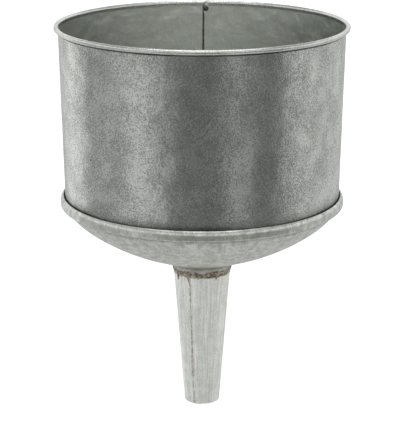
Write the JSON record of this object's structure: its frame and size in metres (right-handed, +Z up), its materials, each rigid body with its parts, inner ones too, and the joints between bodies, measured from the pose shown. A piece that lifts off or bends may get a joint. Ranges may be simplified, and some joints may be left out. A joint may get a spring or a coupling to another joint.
{
  "type": "hopper funnel",
  "caption": "Galvanised sheet-steel canning funnel: deep tapered hopper with a wired rim, shallow pressed bowl joined by a double seam, and a long tapered spout soldered underneath.",
  "frame": {"origin": "centre of the spout tip's end face, the lowest point of the part", "axes": "+Z up the funnel's axis from the spout's tip to the rim; -Y is the front, where the spout's lap seam is; the hopper's lock seam is at the back, +Y"},
  "size_m": [0.254, 0.254, 0.3443],
  "materials": {
    "hopper_sheet": "galvanised, satin, fine grain with scratches",
    "bowl_sheet": "galvanised, satin, pressed, with small dents",
    "spout_sheet": "hot-dipped, dull and whitish with runs",
    "wire": "drawn wire",
    "solder": "tin-lead solder, dull",
    "neck_solder": "solder stained brown by flux"
  },
  "bodies": {
    "root": {"hopper_wall": "hopper_sheet", "rim_wire": "wire", "bowl": "bowl_sheet", "spout": "spout_sheet", "neck_solder": "neck_solder", "bowl_joint_solder": "solder", "hopper_seam_solder": "solder", "spout_seam_solder": "solder"}
  },
  "joints": []
}
